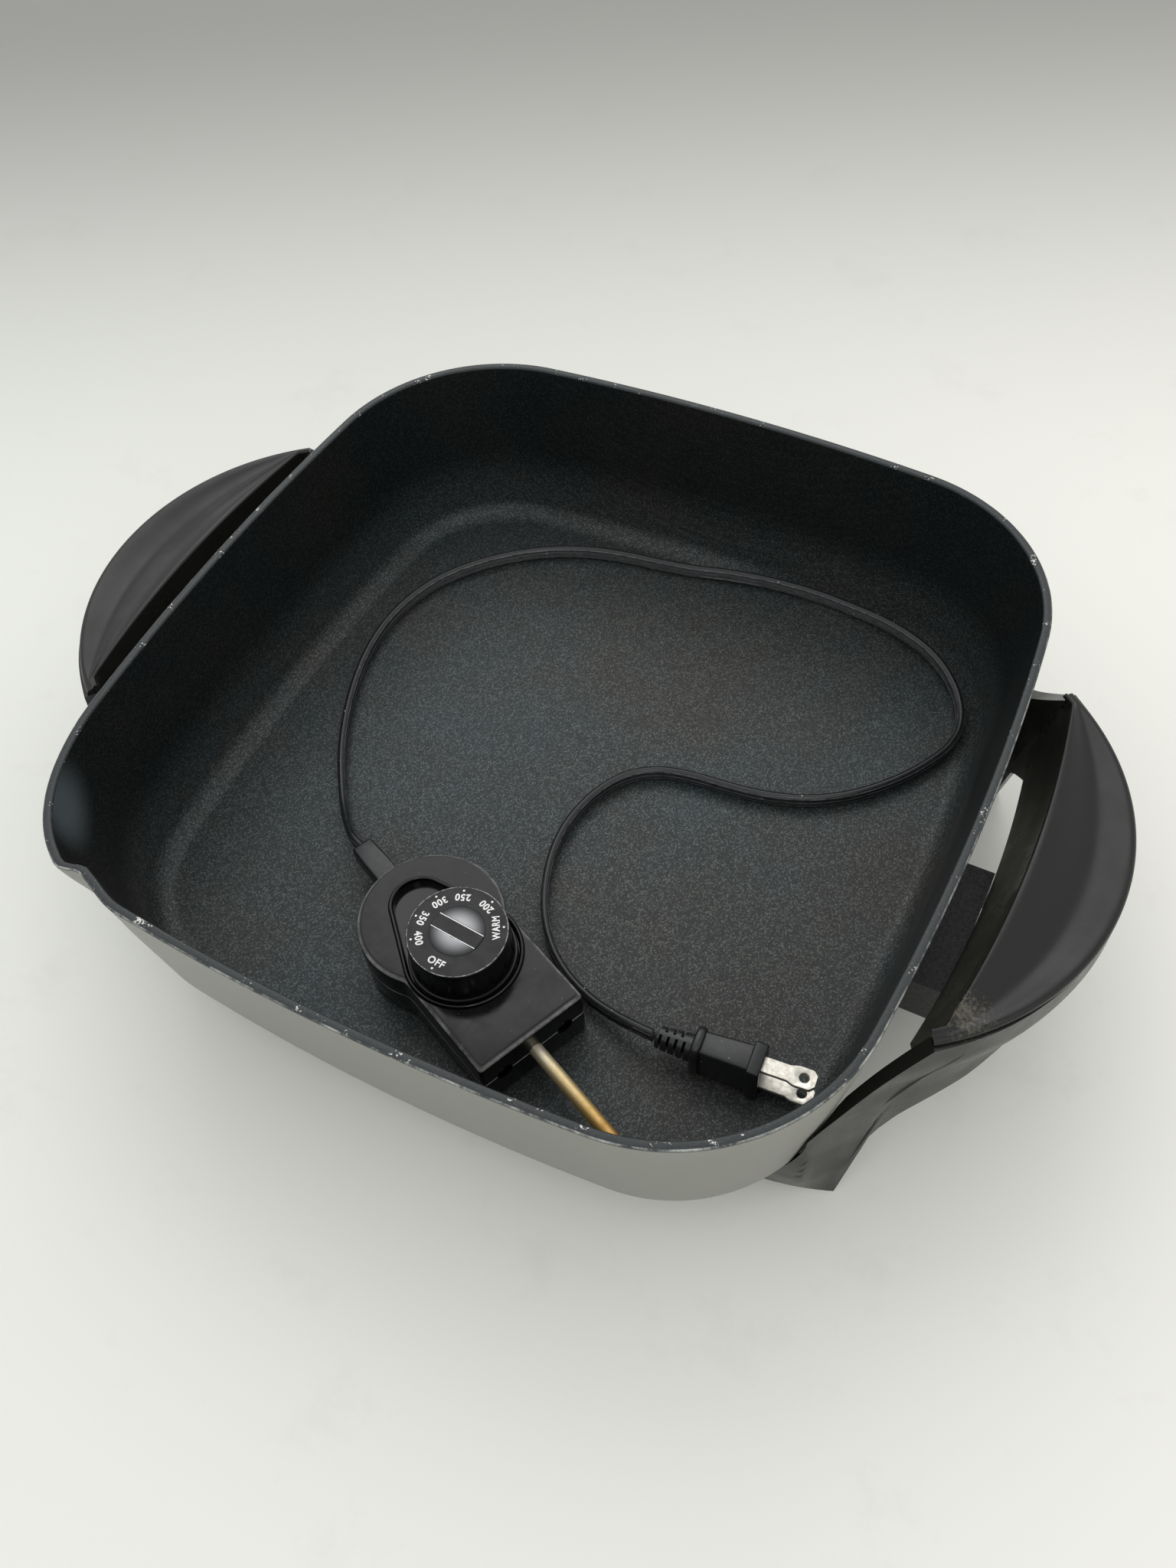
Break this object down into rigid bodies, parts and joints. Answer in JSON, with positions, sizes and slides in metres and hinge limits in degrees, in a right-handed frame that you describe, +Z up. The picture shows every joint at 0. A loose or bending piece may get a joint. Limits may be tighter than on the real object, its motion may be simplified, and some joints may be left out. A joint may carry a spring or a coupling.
{
  "type": "electric skillet",
  "caption": "Square electric skillet with a pouring lip, crescent handles with legs, an element and terminal pins beneath, and a loose probe heat control with dial, flat cord and plug.",
  "frame": {"origin": "middle of the overall box, on the surface that the legs stand on, measured without the cord and plug", "axes": "+X towards the handle over the terminals, +Y away from the side with the pouring lip and the heat control, +Z up"},
  "size_m": [0.3948, 0.3, 0.105],
  "materials": {
    "coated_casting": "non-stick coating inside, light grey paint outside",
    "element_sheath": "heat-stained sheath",
    "plated_steel": "nickel plated",
    "ceramic": "unglazed ceramic",
    "phenolic": "moulded phenolic, satin with polished wear",
    "control_plastic": "moulded phenolic",
    "probe_steel": "steel tinted by heat towards the tip",
    "invar_rod": "drawn",
    "spring_bronze": "rolled strip",
    "wire_sleeve": "sleeved",
    "cord_vinyl": "extruded and moulded vinyl",
    "plated_brass": "nickel plated",
    "knob_plastic": "moulded phenolic",
    "spun_aluminium": "radially brushed disc"
  },
  "bodies": {
    "skillet": {"pan": "coated_casting", "heating_element": "element_sheath", "terminal_pins": "plated_steel", "terminal_insulators": "ceramic", "terminal_guard": "phenolic", "guard_screws": "plated_steel", "right_handle": "phenolic", "left_handle": "phenolic", "handle_screws": "plated_steel", "handle_washers": "plated_steel"},
    "heat_control": {"control_top": "control_plastic", "control_base": "control_plastic", "base_screws": "plated_steel", "probe_tube": "probe_steel", "probe_collar": "plated_steel", "sensing_rod": "invar_rod", "contact_carrier": "ceramic", "moving_contact": "spring_bronze", "fixed_contact": "spring_bronze", "cam_follower": "ceramic", "socket_terminals": "spring_bronze", "lead_wires": "wire_sleeve", "strain_relief": "cord_vinyl", "cord": "cord_vinyl", "plug_body": "cord_vinyl", "plug_blades": "plated_brass"},
    "dial": {"dial_knob": "knob_plastic", "dial_insert": "spun_aluminium", "dial_shaft": "plated_steel", "dial_cam": "ceramic", "shaft_clip": "plated_steel"}
  },
  "joints": [
    {"name": "control_lift", "type": "slide", "parent": "skillet", "child": "heat_control", "axis": [0, 0, 1], "range_m": [0, 0.15]},
    {"name": "dial_turn", "type": "hinge", "parent": "heat_control", "child": "dial", "pos_m": [0.00546, -0.09188, 0.06], "axis": [0, 0, 1], "range_deg": [-241, 67.6]}
  ]
}
